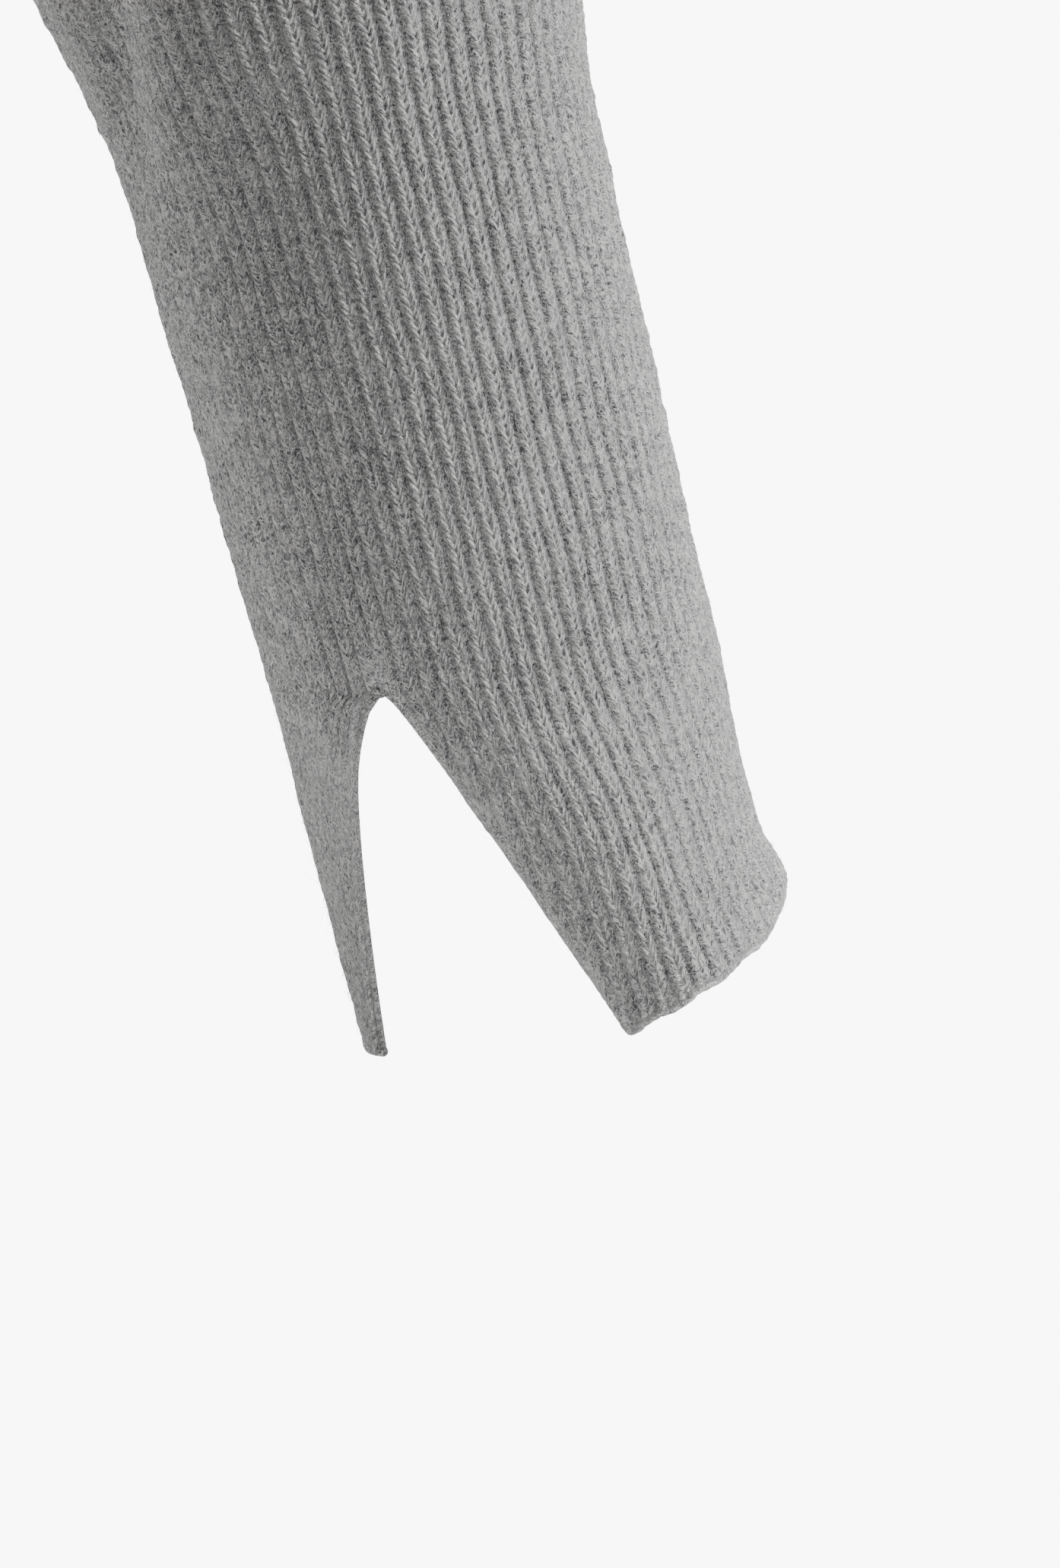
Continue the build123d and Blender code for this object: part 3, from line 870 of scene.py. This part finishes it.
def welt_piece():
    """The doubled end of the sleeve, whose outside meets the sleeve's own outside."""
    path = welt_path()
    w = columns_of(REPEATS)
    length = line_length(path[:, :2])
    r = (-WELT_Z / COURSE) - length / COURSE
    crown, legs, climb = (across(w, shape) for shape in (CROWN, LEG, CLIMB))
    slanted = r[:, None] + climb
    relief = RIB_DEPTH * crown + STRAND * legs * bumps(slanted)
    rho, z, out, up, soft = path.T[:, :, None]
    height = (relief - DEEPEST) * (0.8 * soft)
    angle = 2 * pi * w / REPEATS
    meet = np.interp(WELT_Z, PROFILE_Z, PROFILE_R) + slouch(w, WELT_Z) - OPENING_R
    outer_side = smooth((rho - WELT_IN_R) / 3)
    shift = (1 - smooth((z - WELT_Z) / 6)) * outer_side * meet
    radius = rho + out * height + shift
    z = z + up * height
    points = np.stack([radius * np.cos(angle), radius * np.sin(angle), z], -1).reshape(-1, 3)
    attributes = {
        "rest": points,
        # The welt's relief also sets the painted shade in its furrows.
        "relief": np.where(soft > 0, relief / DEEPEST, 0.5).ravel(),
        "strand": cloth_place(w * REPEAT, slanted * COURSE),
    }
    quads = grid_faces(len(path), len(w), True)[:, ::-1]
    return finish_mesh("welt_knit", points, attributes, quads)


def circle_line(radius, z, count):
    angle = full_turn(count)
    out = np.stack([np.cos(angle), np.sin(angle), 0 * angle], -1)
    return out * radius + [0, 0, z], out, angle * radius


welt = dress(welt_piece(), "knit_wool", WOOL)
follow(welt, "forearm")
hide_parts("arm_welt")

ELASTIC_R = 0.5
ELASTIC_TURNS = 260  # turns of the thread that covers it
LINKING_R = 0.78
LINKING_STITCHES = 2 * REPEATS
elastic_low, elastic_high = BOX_MM["welt_elastic"]
for ring in range(3):
    z = mix(elastic_high[2] - ELASTIC_R, elastic_low[2] + ELASTIC_R, ring / 2)
    centre, out, along = circle_line(elastic_high[0] - ELASTIC_R, z, 900)
    radius = bumpy_radius(along, 8, ELASTIC_R, along[-1] / ELASTIC_TURNS, 0.12, 41)
    piece = tube(f"elastic_{ring + 1}", centre, out, radius, along, True)
    follow(dress(piece, "elastic_thread", ELASTIC), "forearm")
    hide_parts("welt_elastic")

linking_z = BOX_MM["welt_linking"][:, 2].mean()
centre, out, along = circle_line(WELT_IN_R + LAYER / 2, linking_z, 1120)
radius = bumpy_radius(along, 10, LINKING_R, along[-1] / LINKING_STITCHES, 0.35, 42)
linking = tube("linking_chain", centre, out, radius, along, True)
follow(dress(linking, "sewing_thread", THREAD), "forearm")
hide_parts("welt_linking")

# ===== seams on the inside =====

SEAM_R = 1.2
SEAM_BITE = 0.45  # how far the seam's ridge goes into the wall
SEAM_W = REPEATS / 4  # the little finger's edge, on the far side


def seam_piece(name, fabric_rows):
    """The linked seam: a ridge of small paired stitches down the inside."""
    centres, outs = [], []
    for fabric, start, stop in fabric_rows:
        v = np.arange(start, stop, 1 / 5)
        w = np.full(v.shape, SEAM_W)
        n = fabric.normal(w, v)
        centres.append(fabric.place(w, v) - n * (fabric.wall(v)[:, None] + SEAM_R - SEAM_BITE))
        outs.append(n)
    centre, out = np.concatenate(centres), np.concatenate(outs)
    along = line_length(centre)
    sides = 12
    radius = bumpy_radius(along, sides, SEAM_R, COURSE, 0.3, 43)
    flat = 0.9 + 0.1 * np.cos(2 * full_turn(sides))
    return tube(name, centre, out, radius * flat, along, False)


for name, stretch, rows, node in (
    ("arm_seam_ridge", "forearm", [(SLEEVE, 11.5, SLEEVE_SPLIT)], "arm_seam"),
    ("wrist_seam_ridge", "wrist", [(SLEEVE, SLEEVE_SPLIT, BAND_COURSE)], "wrist_seam"),
    (
        "hand_seam_ridge",
        "palm",
        [(SLEEVE, BAND_COURSE, CROTCH_COURSE), (HAND, CROTCH_COURSE, HAND_LAST - 2)],
        "hand_seam",
    ),
):
    piece = dress(seam_piece(name, rows), "knit_wool", WOOL)
    follow(piece, stretch)
    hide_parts(node)

# ===== closing stitches at the crotch =====


def crotch_stitch(name, side, row):
    """One short stitch of doubled yarn over the top of the gap, lying on the fabric."""
    share = np.linspace(-1, 1, 15)
    w = side * (HAND_OUTER / 2 + share * (1.15 - 0.2 * row) + 0.1 * row)
    v = CROTCH_COURSE - 1.1 - 1.05 * row + 0.25 * share**2
    n = SLEEVE.normal(w, v)
    sink = 0.62 + 1.5 * share**4
    centre = SLEEVE.place(w, v) - n * sink[:, None]
    along = line_length(centre)
    radius = bumpy_radius(along, 8, 0.42, 0.8, 0.25, 44 + row) * (1 - 0.5 * share**6)[:, None]
    return tube(name, centre, n, radius, along, False)


for side, label in ((1, "back"), (-1, "front")):
    for row in range(3):
        piece = crotch_stitch(f"crotch_stitch_{label}_{row + 1}", side, row)
        follow(dress(piece, "knit_wool", WOOL), "hand")
        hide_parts("crotch_tack")

# The joined edge where the two walls that face the gap meet, seen from below.
RIDGE_R = 1.15
RIDGE_END = 3.5  # from the gap's corners
y = np.linspace(-CHORD_HALF + RIDGE_END, CHORD_HALF - RIDGE_END, 220)
z = CROTCH_Z - 0.35 + 0.15 * np.sin(0.7 * y)
centre = np.stack([CHORD_X + 0.15 * np.sin(y), y, z], -1)
along = line_length(centre)
ends = (1 - 0.35 * np.abs(y / CHORD_HALF) ** 8)[:, None]
radius = bumpy_radius(along, 12, RIDGE_R, REPEAT / 2, 0.2, 48) * ends
down = np.broadcast_to([0.0, 0.0, -1.0], centre.shape)
ridge = tube("crotch_ridge", centre, down, radius, along, False)
follow(dress(ridge, "knit_wool", WOOL), "hand")
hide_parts("crotch_tack")

# ===== the care label =====

LABEL_ANGLE = math.radians(62)
LABEL_OUT = np.array([math.cos(LABEL_ANGLE), math.sin(LABEL_ANGLE), 0])
LABEL_SIDE = np.array([-math.sin(LABEL_ANGLE), math.cos(LABEL_ANGLE), 0])
LABEL_WIDTH = 14
label_low, label_high = BOX_MM["care_label"]
LABEL_R = float(((label_low + label_high) / 2) @ LABEL_OUT)
LABEL_TOP, LABEL_BOTTOM = label_high[2], label_low[2]
RIBBON_HALF = 0.11  # half its thickness
FOLD_Z = LABEL_BOTTOM + 0.9


def ribbon_piece():
    """A ribbon folded double at its lower end, so it hangs in two layers that bow apart."""
    t = np.linspace(0, 1, 34)
    fall = mix(LABEL_TOP - 0.3, FOLD_Z, t)
    bow = 0.5 * np.sin(pi * t) * (1 - 0.3 * t)
    turn = np.linspace(0, pi, 9)[1:-1]
    depth = np.concatenate([0.28 + bow * 0.6, 0.34 * np.cos(turn), (-0.28 - bow * 1.2)[::-1]])
    height = np.concatenate([fall, FOLD_Z - 0.55 * np.sin(turn), fall[::-1]])
    sideways = np.linspace(-1, 1, 13)
    curl = 0.35 * sideways**2
    middle = LABEL_R + depth[:, None] + curl * smooth(np.abs(depth) * 2)[:, None]
    normal = np.gradient(np.stack([depth, height], -1), axis=0)
    normal = unit(np.stack([normal[:, 1], -normal[:, 0]], -1))
    sheets = []
    for offset in (RIBBON_HALF, -RIBBON_HALF):
        rho = middle + offset * normal[:, :1]
        z = np.broadcast_to(height[:, None] + offset * normal[:, 1:], rho.shape)
        side = np.broadcast_to(sideways * LABEL_WIDTH / 2, rho.shape)
        sheet = rho[..., None] * LABEL_OUT + side[..., None] * LABEL_SIDE
        sheets.append(sheet + z[..., None] * [0, 0, 1])
    rows, columns = middle.shape
    top = grid_faces(rows, columns, False, False)
    bottom = top[:, ::-1] + rows * columns
    index = np.arange(rows * columns).reshape(rows, columns)
    edge = np.concatenate([index[0, :], index[1:, -1], index[-1, -2::-1], index[-2:0:-1, 0]])
    following = np.roll(edge, -1)
    rim = np.stack([edge, following, following + rows * columns, edge + rows * columns], -1)
    along = line_length(np.stack([depth, height], -1))
    cloth = cloth_place(sideways * LABEL_WIDTH / 2, along[:, None])
    points = np.concatenate(sheets).reshape(-1, 3)
    attributes = {"rest": points, "strand": np.concatenate([cloth, cloth])}
    return finish_mesh("label_ribbon", points, attributes, np.concatenate([top, bottom, rim]))


def bar_tack(name, side):
    """A dense zigzag of thread over the label's top corner, through it into the fabric."""
    t = np.linspace(0, 1, 120)
    zig = np.abs(((t * 7) % 1) * 2 - 1) * 2 - 1
    inward = -0.75 - 0.35 * np.cos(zig * pi / 2)
    centre = (
        (LABEL_R + inward)[:, None] * LABEL_OUT
        + (side * (LABEL_WIDTH / 2 - 2) + mix(-1.2, 1.2, t))[:, None] * LABEL_SIDE
        + (LABEL_TOP - 2 + 0.7 * zig)[:, None] * np.array([0, 0, 1])
    )
    out = np.broadcast_to(-LABEL_OUT, centre.shape)
    return tube(name, centre, out, np.full((len(t), 8), 0.2), line_length(centre), False)


ribbon = dress(ribbon_piece(), "label_ribbon", RIBBON)
follow(ribbon, "forearm")
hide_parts("care_label")
for side, label in ((1, "left"), (-1, "right")):
    piece = dress(bar_tack("bar_tack_" + label, side), "sewing_thread", THREAD)
    follow(piece, "forearm")
    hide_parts("label_stitches")

# ===== loose fibres on the surface =====

FIBRE_POINTS = 4
FIBRE_TAPER = np.array([1, 1, 0.8, 0.4])
FIBRE_THIN, FIBRE_THICK = 0.016, 0.034
PALE_SHARE = 0.72
FIBRES_PER_ROW = {
    "forearm": 90,
    "wrist": 150,
    "palm": 170,
    "hand": 150,
    "thumb_base": 210,
    "thumb_end": 190,
}


def fibres(stretch, per_stitch_row, seed):
    """Loose ends of wool that stand off the brushed surface, as fine closed slivers."""
    fabric, start, stop, _ = STRETCHES[stretch]
    rng = np.random.default_rng(seed)
    count = int(per_stitch_row * (stop - start))
    w = rng.uniform(-fabric.outer / 2 + 0.3, fabric.outer / 2 - 0.3, count)
    r = rng.uniform(start + 0.5, stop - 0.5, count)
    base, n, _, _, _, height = fabric.stitches(w, r)
    root = base + n * (height - 0.25)[:, None]
    down = unit(fabric.place(w, r) - fabric.place(w, r - 0.5))
    sideways = np.cross(down, n)
    heading = rng.normal(0, 0.9, count) + np.where(rng.random(count) < 0.5, 0, pi)
    length = rng.gamma(3.5, 0.45, count).clip(0.6, 4.0)
    lift = rng.uniform(0.1, 1.0, count) ** 1.5
    curl = rng.normal(0, 1.8, count)
    droop = rng.uniform(0.3, 1.5, count)
    centre, point = [root], root
    for step in range(1, FIBRE_POINTS):
        share = step / (FIBRE_POINTS - 1)
        turn = heading + curl * share
        rise = lift - droop * share
        flat = down * np.cos(turn)[:, None] + sideways * np.sin(turn)[:, None]
        direction = flat * np.cos(rise)[:, None] + n * np.sin(rise)[:, None]
        point = point + direction * (length / (FIBRE_POINTS - 1))[:, None]
        centre.append(point)
    centre = np.stack(centre, 1)
    tangent = unit(np.gradient(centre, axis=1))
    side = unit(np.cross(tangent, n[:, None]))
    up = np.cross(side, tangent)
    angle = np.array([0, 2, 4]) * pi / 3
    ring = side[:, :, None] * np.cos(angle)[:, None] + up[:, :, None] * np.sin(angle)[:, None]
    thick = rng.uniform(FIBRE_THIN, FIBRE_THICK, count)[:, None, None, None]
    ring = ring * FIBRE_TAPER[:, None, None] * thick
    points = (centre[:, :, None] + ring).reshape(-1, 3)
    first = (np.arange(count) * FIBRE_POINTS * 3)[:, None, None]
    quads = (first + grid_faces(FIBRE_POINTS, 3, False)).reshape(-1, 4)
    roots = first[:, 0] + np.array([0, 1, 2])
    tips = first[:, 0] + (FIBRE_POINTS - 1) * 3 + np.array([2, 1, 0])
    caps = [end for pair in zip(roots, tips) for end in pair]
    piece = finish_mesh(stretch + "_fibres", points, {}, quads, caps)
    pale = rng.random(count) < PALE_SHARE
    tone = np.concatenate([np.repeat(pale, (FIBRE_POINTS - 1) * 3), np.repeat(pale, 2)])
    piece.data.polygons.foreach_set("material_index", np.where(tone, 0, 1).astype(np.int32))
    dress(piece, "knit_wool", PALE_FIBRE, DARK_FIBRE)
    follow(piece, stretch)


for seed, (stretch, per_row) in enumerate(FIBRES_PER_ROW.items(), 60):
    fibres(stretch, per_row, seed)

# ===== camera, light and floor =====

ELEVATION = math.radians(15)  # how far the camera looks down
ROLL = math.radians(14.52)  # how far the glove's axis leans in the frame
DISTANCE = 2.6
SEEN_HEIGHT = 0.2579  # metres of object in the frame's height
SENSOR = 36
AIM = Vector((0.0007, 0.0, -0.2270))

# Name, place, what it points at, diameter, watts and spread in degrees.
GLOVE = (0, 0, -0.17)
LIGHTS = (
    ("key", (1.6, -0.36, 0.2), GLOVE, 0.8, 48, 180),
    ("low_fill", (0.2, -1.0, -0.18), (0, 0, -0.25), 0.3, 0.14, 26),
    ("wrap_left", (-1.5, 0.65, -0.1), GLOVE, 0.9, 47, 180),
    ("wrap_right", (0.9, 1.4, -0.1), GLOVE, 0.9, 40, 180),
    ("overhead", (0.0, 0.1, 1.2), (0, 0, -0.05), 0.4, 1.2, 40),
)
SURROUND = 0.13  # the world's own light on the glove
PAPER_WHITE = 9.0  # what the camera sees of the world and the floor
FLOOR_GREY = 0.5
FLOOR_GAP = 0.004


def add_camera():
    data = bpy.data.cameras.new("camera")
    camera = bpy.data.objects.new("camera", data)
    bpy.context.scene.collection.objects.link(camera)
    data.sensor_width = SENSOR
    data.lens = SENSOR * DISTANCE / SEEN_HEIGHT
    data.clip_start, data.clip_end = 0.1, 50
    back = Vector((0, -math.cos(ELEVATION), math.sin(ELEVATION)))
    right = Vector((1, 0, 0))
    up = back.cross(right)
    turned_right = right * math.cos(ROLL) - up * math.sin(ROLL)
    turned_up = up * math.cos(ROLL) + right * math.sin(ROLL)
    place = AIM + back * DISTANCE
    rows = [[turned_right[k], turned_up[k], back[k], place[k]] for k in range(3)]
    camera.matrix_world = Matrix(rows + [[0, 0, 0, 1]])
    bpy.context.scene.camera = camera


def add_area(name, place, target, size, power, spread):
    data = bpy.data.lights.new(name, "AREA")
    data.shape = "DISK"
    data.size = size
    data.energy = power
    data.spread = math.radians(spread)
    light = bpy.data.objects.new(name, data)
    bpy.context.scene.collection.objects.link(light)
    light.visible_camera = False
    light.location = place
    light.rotation_euler = (Vector(target) - Vector(place)).to_track_quat("-Z", "Y").to_euler()


def bright_to_camera(tree, plain, output):
    """Let the camera see paper white, and all other rays see this plain shader."""
    ray = tree.nodes.new("ShaderNodeLightPath")
    paper = tree.nodes.new("ShaderNodeEmission")
    paper.inputs["Strength"].default_value = PAPER_WHITE
    either = tree.nodes.new("ShaderNodeMixShader")
    tree.links.new(ray.outputs["Is Camera Ray"], either.inputs[0])
    tree.links.new(plain.outputs[0], either.inputs[1])
    tree.links.new(paper.outputs[0], either.inputs[2])
    tree.links.new(either.outputs[0], tree.nodes[output].inputs[0])


add_camera()
world = bpy.data.worlds.new("studio")
bpy.context.scene.world = world
world.use_nodes = True
tree = world.node_tree
surround = tree.nodes["Background"]
surround.inputs["Color"].default_value = (1, 1, 1, 1)
surround.inputs["Strength"].default_value = SURROUND
bright_to_camera(tree, surround, "World Output")
for light in LIGHTS:
    add_area(*light)

bpy.ops.mesh.primitive_plane_add(size=12, location=(0, 0, CAD_BOX[0][2] - FLOOR_GAP))
floor = bpy.context.object
floor.name = "floor"
floor_material = bpy.data.materials.new("pale_floor")
floor_material.use_nodes = True
tree = floor_material.node_tree
plain = tree.nodes["Principled BSDF"]
plain.inputs["Base Color"].default_value = (FLOOR_GREY, FLOOR_GREY, FLOOR_GREY, 1)
plain.inputs["Roughness"].default_value = 1
bright_to_camera(tree, plain, "Material Output")
floor.data.materials.append(floor_material)
